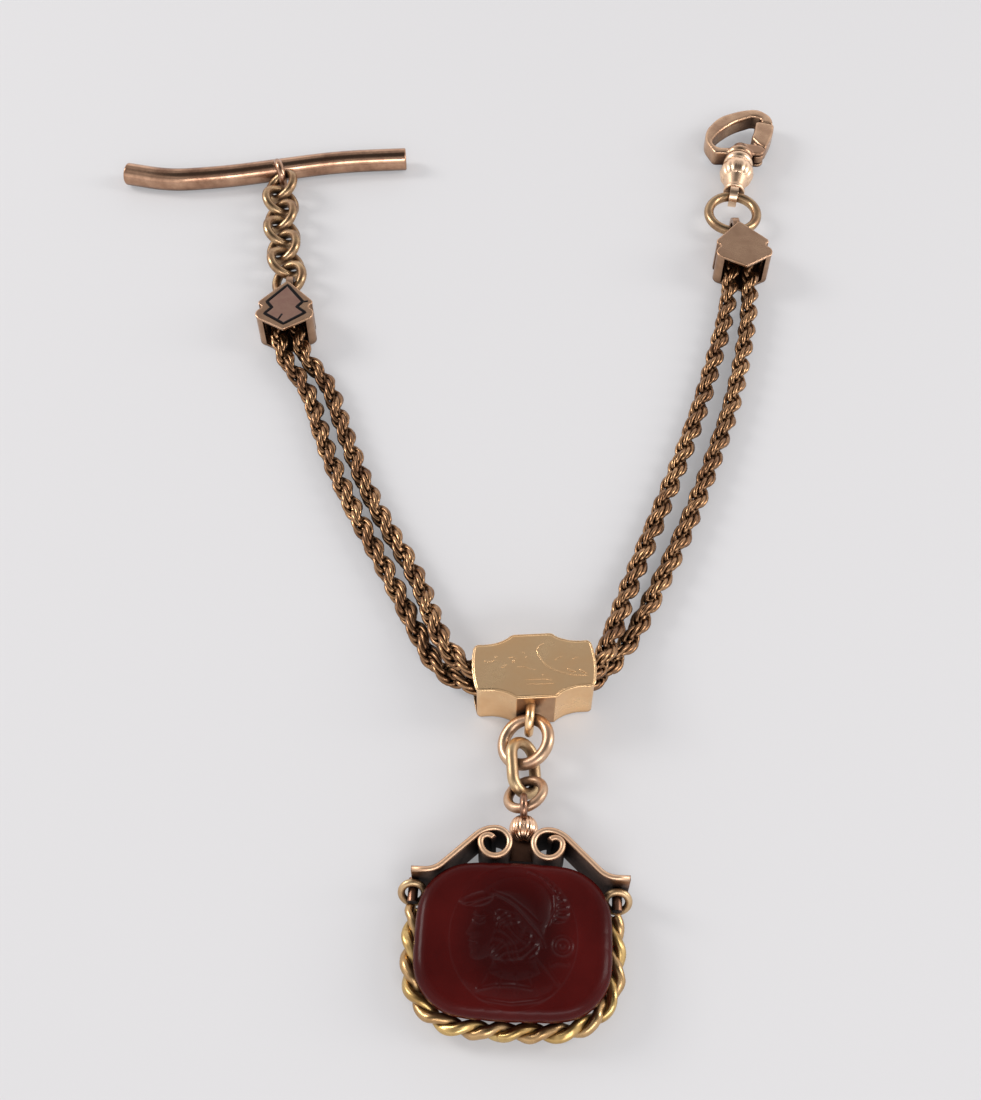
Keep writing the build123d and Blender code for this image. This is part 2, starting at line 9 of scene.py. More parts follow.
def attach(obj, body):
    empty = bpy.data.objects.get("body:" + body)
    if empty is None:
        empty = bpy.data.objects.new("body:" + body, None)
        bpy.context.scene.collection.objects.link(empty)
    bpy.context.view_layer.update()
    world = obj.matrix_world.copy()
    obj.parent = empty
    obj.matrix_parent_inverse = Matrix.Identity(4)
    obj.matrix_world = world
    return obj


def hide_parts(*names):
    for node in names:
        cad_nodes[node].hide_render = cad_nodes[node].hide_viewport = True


# A fob seal on its rope watch chain. Lengths are written in millimetres and turned into metres with MM. Only the
# sizes and places of the lights, the camera's clipping and the floor's reach are written in metres. A tilt, turn,
# slant or slope that has a name is in degrees.
MM = 0.001

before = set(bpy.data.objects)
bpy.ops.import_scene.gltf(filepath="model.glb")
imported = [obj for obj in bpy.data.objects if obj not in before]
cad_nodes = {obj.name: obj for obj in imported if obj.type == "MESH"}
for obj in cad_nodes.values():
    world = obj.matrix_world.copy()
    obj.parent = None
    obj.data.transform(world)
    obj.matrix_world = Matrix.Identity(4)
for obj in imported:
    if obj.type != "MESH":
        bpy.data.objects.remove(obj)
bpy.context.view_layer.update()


def to_mesh(form, name):
    """Turns a bmesh into a named mesh."""
    mesh = bpy.data.meshes.new(name)
    form.to_mesh(mesh)
    form.free()
    return mesh


def add_object(name, data):
    """Puts a mesh, a camera or a light into the scene."""
    thing = bpy.data.objects.new(name, data)
    bpy.context.scene.collection.objects.link(thing)
    return thing


def axes_at(place, turn):
    """Axes at a place, turned about the vertical."""
    return Matrix.Translation(Vector(place) * MM) @ Matrix.Rotation(math.radians(turn), 4, "Z")


# Shader nodes

def set_inputs(node, **values):
    """Sets inputs of a node; an underscore stands for the space in an input's name."""
    for name, value in values.items():
        node.inputs[name.replace("_", " ")].default_value = value


def add_node(tree, kind, **values):
    node = tree.nodes.new("ShaderNode" + kind)
    set_inputs(node, **values)
    return node


def add_mix(tree):
    """A node that mixes two colours."""
    node = add_node(tree, "Mix")
    node.data_type = "RGBA"
    return node


def add_math(tree, operation, factor=0.5):
    node = add_node(tree, "Math")
    node.operation = operation
    node.inputs[1].default_value = factor
    return node


def link_all(tree, *wires):
    """Links nodes; each wire names a node and its output, then a node and its input."""
    for source, output, target, entry in wires:
        tree.links.new(source.outputs[output], target.inputs[entry])


def principled(name, **values):
    """A material with its node tree and its main shader, whose inputs are set."""
    material = bpy.data.materials.new(name)
    material.use_nodes = True
    shader = material.node_tree.nodes["Principled BSDF"]
    set_inputs(shader, **values)
    return material, material.node_tree, shader


# Camera, floor and light

CAMERA_PLACE = (4.89, -88.27, 112.09)
CAMERA_TILT = 35
CAMERA_LENS = 42.55
CAMERA_SENSOR = 36
CAMERA_CLIP = (0.005, 10)
FLOOR_DROP = 0.03
FLOOR_REACH = 1.5
# Brightness of the sky at each height, from 0 at the horizon to 1 overhead
SKY = [(0.0, 0.55), (0.25, 1.0), (0.5, 0.85), (0.66, 0.42), (0.74, 0.32), (0.86, 0.50), (0.93, 0.08), (1.0, 0.05)]
SKY_TINT = (1.0, 0.985, 1.01)
SKY_STRENGTH = 1.13
# Soft lights: name, place, size, power and colour
LIGHTS = [
    ("window", (-0.42, 0.16, 0.30), (0.16, 0.20), 1.15, (1.0, 0.98, 0.96)),
    ("side", (0.44, 0.02, 0.26), (0.12, 0.30), 0.8, (1.0, 0.97, 0.94)),
    ("front", (0.10, -0.46, 0.34), (0.40, 0.14), 0.9, (0.98, 0.98, 1.0)),
]


def make_camera():
    data = bpy.data.cameras.new("camera")
    data.lens = CAMERA_LENS
    data.sensor_width = CAMERA_SENSOR
    data.clip_start, data.clip_end = CAMERA_CLIP
    camera = add_object("camera", data)
    camera.location = Vector(CAMERA_PLACE) * MM
    camera.rotation_euler = (math.radians(CAMERA_TILT), 0, 0)
    bpy.context.scene.camera = camera


def make_floor():
    table = bmesh.new()
    bmesh.ops.create_grid(table, x_segments=1, y_segments=1, size=FLOOR_REACH)
    bmesh.ops.translate(table, verts=table.verts, vec=(0, 0, -FLOOR_DROP * MM))
    floor = add_object("floor", to_mesh(table, "floor"))
    card = principled("white_card", Base_Color=(0.482, 0.480, 0.485, 1), Emission_Color=(1.0, 0.99, 1.0, 1),
                      Emission_Strength=0.25, Roughness=0.7, Specular_IOR_Level=0.2)[0]
    floor.data.materials.append(card)


def soft_light(name, place, size, power, colour):
    """An area light turned to the middle of the part."""
    data = bpy.data.lights.new(name, "AREA")
    data.shape = "RECTANGLE"
    data.size, data.size_y = size
    data.energy = power
    data.color = colour
    light = add_object(name, data)
    light.location = place
    light.rotation_euler = (-Vector(place)).to_track_quat("-Z", "Y").to_euler()


def make_room():
    """A sky that is bright low down and dark overhead, so that the flat tops keep their depth."""
    world = bpy.data.worlds.new("studio")
    bpy.context.scene.world = world
    world.use_nodes = True
    tree = world.node_tree
    background = tree.nodes["Background"]
    background.inputs["Strength"].default_value = SKY_STRENGTH
    coordinates = add_node(tree, "TexCoord")
    split = add_node(tree, "SeparateXYZ")
    ramp = add_node(tree, "ValToRGB")
    stops = ramp.color_ramp.elements
    for height, level in SKY:
        stop = stops[0] if height == 0 else stops[-1] if height == 1 else stops.new(height)
        stop.color = (*(level * tint for tint in SKY_TINT), 1)
    link_all(tree, (coordinates, "Generated", split, "Vector"), (split, "Z", ramp, "Fac"),
             (ramp, "Color", background, "Color"))
    for light in LIGHTS:
        soft_light(*light)
    bpy.context.scene.view_settings.view_transform = "Standard"


make_camera()
make_floor()
make_room()


# Finishes

# What a worn metal with painted shade in its crevices can be given: kind of input, name, and value when nothing
# else is said
WEAR_AND_SHADE_INPUTS = [
    ("Color", "Metal", (0.7, 0.5, 0.3, 1)),
    ("Color", "Blotch", (0.6, 0.4, 0.2, 1)),
    # The Crevice colour is painted shade and patina, laid in where ambient occlusion finds hollows
    ("Color", "Crevice", (0.05, 0.03, 0.02, 1)),
    ("Float", "Crevice Depth", 0.6 * MM),
    ("Float", "Crevice Amount", 1.0),
    ("Float", "Blotch Scale", 500.0),
    ("Float", "Roughness", 0.22),
    ("Float", "Marks", 0.1),
    ("Float", "Edge Radius", 0.06 * MM),
]
WEAR_AND_SHADE_OUTPUTS = [("Color", "Color"), ("Float", "Roughness"), ("Vector", "Normal")]
CREVICE_DULLING = 0.35
BLOTCH_DULLING = 0.12
# The metals: colour, colour of the blotches and of the crevices (painted shade and patina), roughness, scale of
# the blotches, reach of the crevices, and what else departs from the inputs above
METALS = {
    "rose_gilt": ((0.82, 0.52, 0.34), (0.64, 0.38, 0.22), (0.04, 0.018, 0.014), 0.2, 300, 0.9, {}),
    # Its crevice shade reaches far and is strengthened: painted shade inside the hook's loop and on its walls
    "clasp_gilt": ((0.74, 0.49, 0.31), (0.46, 0.27, 0.17), (0.03, 0.013, 0.012), 0.2, 260, 3.4,
                   {"Crevice_Amount": 1.35, "Edge_Radius": 0.2 * MM}),
    "bar_gilt": ((0.63, 0.385, 0.25), (0.30, 0.16, 0.10), (0.03, 0.013, 0.010), 0.15, 220, 1.2, {}),
    # A darker copy of the rose gilt: painted shade on the yoke's strap walls
    "shaded_yoke_gilt": ((0.40, 0.22, 0.14), (0.24, 0.12, 0.075), (0.018, 0.008, 0.007), 0.24, 300, 2.8, {}),
    # A brighter copy with little crevice shade: a painted highlight along the strap's upper edges
    "lit_edge_gilt": ((0.92, 0.63, 0.42), (0.74, 0.47, 0.29), (0.20, 0.10, 0.06), 0.36, 300, 0.4,
                  {"Crevice_Amount": 0.4, "Edge_Radius": 0}),
    "ball_gilt": ((0.98, 0.64, 0.42), (0.80, 0.48, 0.29), (0.05, 0.022, 0.015), 0.2, 300, 0.8, {}),
    # A paler copy of the clasp's gilt on the barrel and its shell: a painted highlight
    "lit_swivel_gilt": ((1.0, 0.74, 0.52), (0.92, 0.62, 0.40), (0.06, 0.028, 0.020), 0.2, 300, 1.2, {}),
    "yellow_gilt": ((0.74, 0.54, 0.30), (0.52, 0.34, 0.19), (0.04, 0.020, 0.012), 0.3, 420, 1.3, {}),
    "drop_gilt": ((0.70, 0.48, 0.31), (0.50, 0.31, 0.20), (0.04, 0.020, 0.014), 0.3, 420, 1.3, {}),
    "pale_gilt": ((0.95, 0.65, 0.36), (0.88, 0.56, 0.29), (0.09, 0.04, 0.022), 0.26, 240, 0.9, {}),
    "aged_brass": ((0.54, 0.365, 0.20), (0.33, 0.195, 0.11), (0.02, 0.009, 0.008), 0.22, 700, 1.4, {}),
    "cap_gilt": ((0.52, 0.33, 0.21), (0.36, 0.215, 0.135), (0.026, 0.012, 0.010), 0.24, 340, 1.4,
                 {"Edge_Radius": 0.12 * MM}),
    # Near-black crevice colour reaching far: painted shade between the rings, with some patina
    "rope_brass": ((0.49, 0.28, 0.14), (0.215, 0.108, 0.056), (0.004, 0.002, 0.0018), 0.2, 300, 1.8,
                   {"Edge_Radius": 0, "Marks": 0.03}),
    "strand_gilt": ((0.62, 0.41, 0.20), (0.42, 0.25, 0.11), (0.04, 0.018, 0.010), 0.22, 300, 0.9, {}),
    "ridged_gilt": ((0.68, 0.47, 0.19), (0.46, 0.28, 0.10), (0.04, 0.018, 0.008), 0.24, 500, 0.8,
                    {"Edge_Radius": 0}),
    # A darker copy of the slide's gilt for that sheet: painted shade
    "shade_panel_gilt": ((0.60, 0.38, 0.215), (0.48, 0.28, 0.16), (0.04, 0.018, 0.012), 0.28, 300, 0.6,
                   {"Edge_Radius": 0}),
    "field_gilt": ((0.44, 0.27, 0.20), (0.34, 0.19, 0.15), (0.02, 0.01, 0.01), 0.3, 500, 0.6, {"Edge_Radius": 0}),
}


def make_wear_and_shade_group():
    """Colour, roughness and normal of old gilt metal: blotches, crevices darkened by ambient occlusion as painted
    shade and patina, rubbed edges, fine marks.
    """
    group = bpy.data.node_groups.new("worn_gilt_and_crevice_shade", "ShaderNodeTree")
    for kind, name, value in WEAR_AND_SHADE_INPUTS:
        socket = group.interface.new_socket(name, in_out="INPUT", socket_type="NodeSocket" + kind)
        socket.default_value = value
    for kind, name in WEAR_AND_SHADE_OUTPUTS:
        group.interface.new_socket(name, in_out="OUTPUT", socket_type="NodeSocket" + kind)
    given = group.nodes.new("NodeGroupInput")
    result = group.nodes.new("NodeGroupOutput")
    coordinates = add_node(group, "TexCoord")
    blotches = add_node(group, "TexNoise", Detail=4, Roughness=0.65)
    spread = add_node(group, "MapRange", From_Min=0.35, From_Max=0.65)
    blend = add_mix(group)
    # Ambient occlusion finds hollows and parts close to others; the darkening it drives is painted shade and
    # patina
    crevice_shade_ao = add_node(group, "AmbientOcclusion")
    crevice_shade_ao.samples = 6
    shade = add_node(group, "MapRange", From_Min=0.85, From_Max=0.2)
    amount = add_math(group, "MULTIPLY")
    darken = add_mix(group)
    dull = add_math(group, "MULTIPLY_ADD", CREVICE_DULLING)
    rub = add_math(group, "MULTIPLY_ADD", BLOTCH_DULLING)
    marks = add_node(group, "TexNoise", Scale=2600, Detail=3)
    edges = add_node(group, "Bevel")
    edges.samples = 4
    bump = add_node(group, "Bump", Distance=0.06 * MM)
    link_all(
        group,
        (coordinates, "Object", blotches, "Vector"), (given, "Blotch Scale", blotches, "Scale"),
        (blotches, "Fac", spread, "Value"), (spread, "Result", blend, "Factor"),
        (given, "Metal", blend, "A"), (given, "Blotch", blend, "B"),
        (given, "Crevice Depth", crevice_shade_ao, "Distance"), (crevice_shade_ao, "AO", shade, "Value"),
        (shade, "Result", amount, 0), (given, "Crevice Amount", amount, 1),
        (amount, "Value", darken, "Factor"), (blend, "Result", darken, "A"), (given, "Crevice", darken, "B"),
        (darken, "Result", result, "Color"),
        (spread, "Result", rub, 0), (given, "Roughness", rub, 2),
        (amount, "Value", dull, 0), (rub, "Value", dull, 2), (dull, "Value", result, "Roughness"),
        (coordinates, "Object", marks, "Vector"), (given, "Edge Radius", edges, "Radius"),
        (given, "Marks", bump, "Strength"), (marks, "Fac", bump, "Height"), (edges, "Normal", bump, "Normal"),
        (bump, "Normal", result, "Normal"),
    )
    return group


def make_metal(name, group, colour, blotch, crevice, roughness, blotch_scale, crevice_depth, others):
    material, tree, shader = principled(name, Metallic=1.0)
    wear_and_shade = add_node(tree, "Group")
    wear_and_shade.node_tree = group
    set_inputs(wear_and_shade, Metal=(*colour, 1), Blotch=(*blotch, 1), Crevice=(*crevice, 1), Roughness=roughness,
               Blotch_Scale=blotch_scale, Crevice_Depth=crevice_depth * MM, **others)
    link_all(tree, (wear_and_shade, "Color", shader, "Base Color"), (wear_and_shade, "Roughness", shader, "Roughness"),
             (wear_and_shade, "Normal", shader, "Normal"))
    return material


def noise_colours(tree, coordinates, scale, detail, first, last):
    """A ramp of two colours driven by a noise; each end is a place on the ramp and a colour."""
    noise = add_node(tree, "TexNoise", Scale=scale, Detail=detail)
    ramp = add_node(tree, "ValToRGB")
    for stop, (place, colour) in zip(ramp.color_ramp.elements, (first, last)):
        stop.position = place
        stop.color = (*colour, 1)
    link_all(tree, (coordinates, "Object", noise, "Vector"), (noise, "Fac", ramp, "Fac"))
    return ramp


def make_enamel():
    material, tree, shader = principled("black_enamel", Roughness=0.35, Specular_IOR_Level=0.12)
    ramp = noise_colours(tree, add_node(tree, "TexCoord"), scale=1500, detail=2,
                         first=(0, (0.004, 0.003, 0.003)), last=(1, (0.008, 0.005, 0.005)))
    link_all(tree, (ramp, "Color", shader, "Base Color"))
    return material


SEAL_PLACE = (6.81, -52.23)
SEAL_TURN = -2.7
DARK_OVAL = (5.6, 6.2)


def make_carnelian():
    """Dark red stone, darker still towards the middle of its oval medallion."""
    material, tree, shader = principled(
        "carnelian", Roughness=0.25, IOR=1.54, Specular_IOR_Level=0.09, Subsurface_Weight=0.1,
        Subsurface_Radius=(1.2 * MM, 0.3 * MM, 0.2 * MM), Subsurface_Scale=1.0)
    coordinates = add_node(tree, "TexCoord")
    ramp = noise_colours(tree, coordinates, scale=180, detail=5,
                         first=(0.3, (0.046, 0.0040, 0.0036)), last=(0.7, (0.078, 0.0066, 0.0058)))
    place = add_node(tree, "Mapping")
    place.vector_type = "TEXTURE"
    set_inputs(place, Location=(SEAL_PLACE[0] * MM, SEAL_PLACE[1] * MM, 0),
               Rotation=(0, 0, math.radians(SEAL_TURN)), Scale=(DARK_OVAL[0] * MM, DARK_OVAL[1] * MM, 1))
    reach = add_node(tree, "VectorMath")
    reach.operation = "LENGTH"
    inside = add_node(tree, "MapRange", From_Min=1.0, From_Max=0.55)
    darken = add_mix(tree)
    set_inputs(darken, B=(0.031, 0.0036, 0.0034, 1))
    link_all(
        tree,
        (coordinates, "Object", place, "Vector"), (place, "Vector", reach, 0),
        (reach, "Value", inside, "Value"), (inside, "Result", darken, "Factor"),
        (ramp, "Color", darken, "A"), (darken, "Result", shader, "Base Color"),
    )
    return material


worn_gilt_and_crevice_shade = make_wear_and_shade_group()
metals = {name: make_metal(name, worn_gilt_and_crevice_shade, *row) for name, row in METALS.items()}

T_CHAIN_LINKS = 7
# The solids that are shown as they are, by their metal
DRESSED = {
    "bar_gilt": ["t_bar"],
    "cap_gilt": ["left_cap", "right_cap"],
    "shaded_yoke_gilt": ["seal_yoke"],
    # The yoke's walls take the darker copy, painted shade
    "lit_swivel_gilt": ["swivel_barrel"],
    "drop_gilt": ["drop_ring", "seal_ring"],
    "yellow_gilt": ["drop_link", "shank_ring_left", "shank_ring_right"],
    "pale_gilt": ["centre_slide"],
    "aged_brass": ["swivel_ring"] + ["t_chain_link_" + str(number + 1) for number in range(T_CHAIN_LINKS)],
}
for finish, nodes in DRESSED.items():
    for node in nodes:
        mesh = cad_nodes[node].data
        mesh.materials.clear()
        mesh.materials.append(metals[finish])
        mesh.update()


def add_piece(name, mesh, material, body="chain", replaced=(), smooth=True):
    """Puts a finished mesh into the scene as a piece that rides on its body."""
    mesh.materials.clear()
    mesh.materials.append(material)
    if smooth:
        mesh.polygons.foreach_set("use_smooth", [True] * len(mesh.polygons))
    piece = add_object(name, mesh)
    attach(piece, body)
    if replaced:
        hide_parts(*replaced)


# Lines, tubes and beads

BEAD_CORNERS = 8


def unit(ways):
    """Each row of ways at length 1."""
    return ways / np.linalg.norm(ways, axis=1)[:, None]


def lengths_along(line):
    """Length of a line from its start to each of its points."""
    return np.concatenate(([0], np.cumsum(np.linalg.norm(np.diff(line, axis=0), axis=1))))


def points_at(marks, along, line):
    """The points of a line at the given lengths along it."""
    return np.stack([np.interp(marks, along, line[:, axis]) for axis in range(line.shape[1])], axis=1)


def full_turn(count):
    """Angles of equal steps round a full turn."""
    return np.linspace(0, 2 * np.pi, count, endpoint=False)


def right_of(ahead):
    """The level directions to the right of those ahead."""
    return np.stack((ahead[:, 1], -ahead[:, 0]), axis=1)


def cut_corners(points, ahead):
    """Two points on the way from each point to the one ahead of it, in place of both."""
    return np.stack((points * 0.75 + ahead * 0.25, points * 0.25 + ahead * 0.75), axis=1).reshape(-1, 2)


def tube_mesh(name, rings, closed=False):
    """Skin over a row of rings of points, in millimetres; an open one gets an end face at each end."""
    rows, corners = rings.shape[:2]
    row, turn = np.meshgrid(np.arange(rows if closed else rows - 1), np.arange(corners), indexing="ij")

    def corner(row_on, turn_on):
        return ((row + row_on) % rows) * corners + (turn + turn_on) % corners

    faces = np.stack([corner(0, 0), corner(0, 1), corner(1, 1), corner(1, 0)], axis=-1).reshape(-1, 4).tolist()
    if not closed:
        faces += [list(range(corners)), list(range((rows - 1) * corners, rows * corners))]
    mesh = bpy.data.meshes.new(name)
    mesh.from_pydata((rings.reshape(-1, 3) * MM).tolist(), [], faces)
    skin = bmesh.new()
    skin.from_mesh(mesh)
    bmesh.ops.recalc_face_normals(skin, faces=skin.faces)
    skin.to_mesh(mesh)
    skin.free()
    return mesh


def joined(name, meshes):
    """One mesh made of several."""
    whole = bmesh.new()
    for mesh in meshes:
        whole.from_mesh(mesh)
        bpy.data.meshes.remove(mesh)
    return to_mesh(whole, name)


def bead(name, points, radius, flat=1.0, closed=False):
    """Thin bead along a line; the radius may change along it, and the bead may be flattened."""
    points = np.array(points, float)
    if closed:
        ahead = unit(np.roll(points, -1, axis=0) - np.roll(points, 1, axis=0))
    else:
        ahead = unit(np.gradient(points, axis=0))
    side = unit(np.cross(ahead, (0, 0, 1)))
    top = np.cross(side, ahead)
    turn = full_turn(BEAD_CORNERS)[None, :, None]
    reach = (np.zeros(len(points)) + radius)[:, None, None]
    outward = side[:, None, :] * np.cos(turn) + top[:, None, :] * np.sin(turn) * flat
    return tube_mesh(name, points[:, None, :] + outward * reach, closed)


# Rope chains: two strands of small wire rings, laid round each other to the right

ROPE_REST = 1.03
ROPE_LIFT = 0.08
ROPE_INNER = [
    (-18.01, 21.72, 1.6), (-17.16, 16.82, 1.43), (-13.76, 13.22, ROPE_REST), (-11.41, 5.62, ROPE_REST),
    (-7.91, -4.08, ROPE_REST), (-2.51, -14.08, 1.13), (-0.86, -19.98, 2.6), (0.89, -24.48, 3.4),
    (3.69, -26.83, 3.7), (9.19, -26.73, 3.75), (14.99, -26.95, 3.7), (16.42, -23.28, 3.15),
    (19.09, -15.28, 1.5), (23.49, -4.28, ROPE_REST), (27.39, 5.72, ROPE_REST), (30.49, 15.02, ROPE_REST),
    (33.69, 25.92, 1.43), (34.46, 32.12, 1.6),
]
ROPE_OUTER = [
    (-20.14, 21.72, 1.6), (-19.71, 17.02, 1.38), (-15.76, 11.82, ROPE_REST), (-13.66, 4.12, ROPE_REST),
    (-10.11, -4.58, ROPE_REST), (-6.01, -12.68, ROPE_REST), (-2.31, -20.78, ROPE_REST), (-0.21, -25.08, 1.13),
    (3.79, -27.18, 1.5), (9.19, -27.28, 1.55), (14.39, -27.18, 1.5), (18.49, -22.28, 1.08),
    (21.79, -15.78, ROPE_REST), (25.79, -7.28, ROPE_REST), (29.89, 3.02, ROPE_REST), (32.99, 11.82, ROPE_REST),
    (36.09, 24.72, 1.33), (36.61, 32.12, 1.6),
]
ROUTE_FINENESS = 24
RING_WIRE = 0.5
RING_REACH = 0.48
RING_HALF_LENGTH = 1.0
RING_OFFSET = 0.36
RING_SLANT = 8
# Each ring slants a little more or less than the one before, by a wave that doesn't repeat; its step is in radians
RING_SLANT_SWAY = 6
SWAY_STEP = 2.399
RING_STEP = 0.62
# A thin tube inside the rings, there to show painted shade through the gaps between them
ROPE_SHADE_CORE = 0.32
LAY_LENGTH = 5.8
RING_CORNERS = 16
WIRE_CORNERS = 6


def spline_line(route):
    """Points of the smooth line that a rope follows, in millimetres."""
    curve = bpy.data.curves.new("rope_line", "CURVE")
    curve.dimensions = "3D"
    curve.resolution_u = ROUTE_FINENESS
    spline = curve.splines.new("NURBS")
    spline.points.add(len(route) - 1)
    for point, place in zip(spline.points, route):
        point.co = (*place, 1)
    spline.order_u = 3
    spline.use_endpoint_u = True
    holder = bpy.data.objects.new("rope_line", curve)
    mesh = bpy.data.meshes.new_from_object(holder)
    line = np.array([vertex.co for vertex in mesh.vertices])
    bpy.data.objects.remove(holder)
    bpy.data.meshes.remove(mesh)
    bpy.data.curves.remove(curve)
    return line


def carried_frames(line, step):
    """Places along a line, a step apart, each with its own side and top directions that don't twist."""
    along = lengths_along(line)
    marks = np.arange(0, along[-1], step)
    places = points_at(marks, along, line)
    ahead = unit(np.gradient(places, axis=0))
    tops = []
    top = np.array((0.0, 0.0, 1.0))
    for way in ahead:
        top = top - way * (top @ way)
        top = top / np.linalg.norm(top)
        tops.append(top)
    tops = np.array(tops)
    return marks, places, ahead, tops, np.cross(ahead, tops)


def rope_mesh(name, route, first_angle):
    """The rings of both strands in turn, each strand half a turn from the other, round a thin core that fills the
    gaps with painted shade.
    """
    marks, places, ahead, tops, sides = carried_frames(spline_line(route), RING_STEP / 2)
    numbers = np.arange(len(marks))
    turns = 2 * np.pi * marks / LAY_LENGTH + first_angle + np.pi * (numbers % 2)
    slant = np.radians(RING_SLANT + RING_SLANT_SWAY * np.sin(numbers * SWAY_STEP))
    out = tops * np.cos(turns)[:, None] + sides * np.sin(turns)[:, None]
    round_way = -tops * np.sin(turns)[:, None] + sides * np.cos(turns)[:, None]
    long_way = ahead * np.cos(slant)[:, None] + round_way * np.sin(slant)[:, None]
    across = np.cross(out, long_way)
    places = places + np.array((0, 0, ROPE_LIFT))
    centres = places + out * RING_OFFSET
    ring_angle = full_turn(RING_CORNERS)[None, :, None, None]
    wire_angle = full_turn(WIRE_CORNERS)[None, None, :, None]
    out, long_way, across, centres = (x[:, None, None, :] for x in (out, long_way, across, centres))
    spine = out * np.cos(ring_angle) * RING_REACH + long_way * np.sin(ring_angle) * RING_HALF_LENGTH
    outward = out * np.cos(ring_angle) + long_way * np.sin(ring_angle)
    skin = outward * np.cos(wire_angle) + across * np.sin(wire_angle)
    points = (centres + spine + skin * (RING_WIRE / 2)).reshape(-1, 3) * MM
    ring, step, turn = np.meshgrid(numbers, np.arange(RING_CORNERS), np.arange(WIRE_CORNERS), indexing="ij")

    def corner(step_on, turn_on):
        next_step = (step + step_on) % RING_CORNERS
        next_turn = (turn + turn_on) % WIRE_CORNERS
        return (ring * RING_CORNERS + next_step) * WIRE_CORNERS + next_turn

    faces = np.stack([corner(0, 0), corner(1, 0), corner(1, 1), corner(0, 1)], axis=-1).reshape(-1, 4)
    mesh = bpy.data.meshes.new(name)
    mesh.from_pydata(points.tolist(), [], faces.tolist())
    mesh.update()
    return joined(name, [mesh, bead(name, places, ROPE_SHADE_CORE)])


for node, route, first_angle in (("rope_inner", ROPE_INNER, 0.4), ("rope_outer", ROPE_OUTER, 1.9)):
    add_piece(node + "_rings", rope_mesh(node + "_rings", route, first_angle), metals["rope_brass"],
              replaced=(node,))


# The stone, cut from a grid: cushion outline, soft shoulders and a helmeted bust sunk into its medallion

seal_axes = axes_at((*SEAL_PLACE, 0), SEAL_TURN)
STONE_HALF_WIDTH = 8.4
STONE_HALF_HEIGHT = 6.7
STONE_TOP = 4.15
STONE_GIRDLE = 2.9
GIRDLE_TOLERANCE = 0.05
SHOULDER_RUN = 1.3
SHOULDER_POWER = 2.3
STONE_CELLS = 240
# Below the girdle: how far each step goes down, and how much it draws in
STONE_SIDES = [(0.65, 0.94), (1.0, 0.93), (1.0, 0.93)]
MEDALLION_HALF_WIDTH = 5.55
MEDALLION_HALF_HEIGHT = 6.2
MEDALLION_STEP = 0.05
MEDALLION_RIDGE = 0.015
ENGRAVING_RISE = 0.15
ENGRAVING_SHARE = 0.75

# Outlines of the bust, in the seal's own axes
HELMET_BOWL = [(-4.0, 2.5), (-2.6, 4.0), (-1.2, 4.9), (0.6, 5.2), (2.2, 4.6), (3.1, 3.4), (3.2, 2.1), (2.7, 0.6),
               (2.5, -0.6), (1.4, 0.8), (0.0, 2.3), (-1.6, 3.2)]
VISOR = [(-5.1, 2.6), (-3.9, 3.4), (-2.4, 3.9), (-1.4, 3.4), (-2.4, 2.3), (-3.9, 2.2)]
CREST = [(0.9, 5.5), (1.3, 6.2), (3.0, 5.4), (4.4, 4.2), (4.8, 2.6), (4.6, 1.2), (2.9, 1.0), (3.6, 2.2),
         (3.5, 3.6), (2.5, 4.9)]
FACE = [(-2.2, 2.3), (-3.35, 2.2), (-3.55, 1.55), (-3.5, 1.15), (-3.9, 0.35), (-4.1, -0.05), (-3.85, -0.22),
        (-3.62, -0.32), (-3.85, -0.65), (-3.66, -0.85), (-3.82, -1.12), (-3.55, -1.4), (-3.65, -1.95),
        (-3.1, -2.35), (-2.2, -2.1), (-1.0, -1.2), (-0.6, 1.0)]
HAIR = [(-2.0, 2.2), (-0.2, 2.2), (1.2, 0.8), (2.3, -0.5), (2.2, -1.6), (1.2, -2.4), (-0.6, -2.6), (-1.9, -2.3),
        (-2.1, -0.9), (-1.5, 0.4)]
NECK = [(-1.6, -1.8), (-1.8, -2.8), (-2.6, -3.3), (0.0, -4.2), (2.6, -3.4), (2.0, -2.4), (1.9, -1.4)]
CHEST = [(-2.5, -2.7), (-3.8, -3.4), (-4.6, -4.4), (-2.6, -5.2), (0.0, -5.5), (2.4, -5.1), (3.7, -4.2),
         (2.7, -2.9), (0.2, -3.9)]
# The sunk forms: outline, depth and width of the soft edge
SUNK_FORMS = [
    (CHEST, 0.16, 0.9), (NECK, 0.26, 1.1), (FACE, 0.34, 1.3), (HAIR, 0.34, 1.0), (HELMET_BOWL, 0.44, 1.5),
    (VISOR, 0.3, 0.6), (CREST, 0.24, 0.6),
]
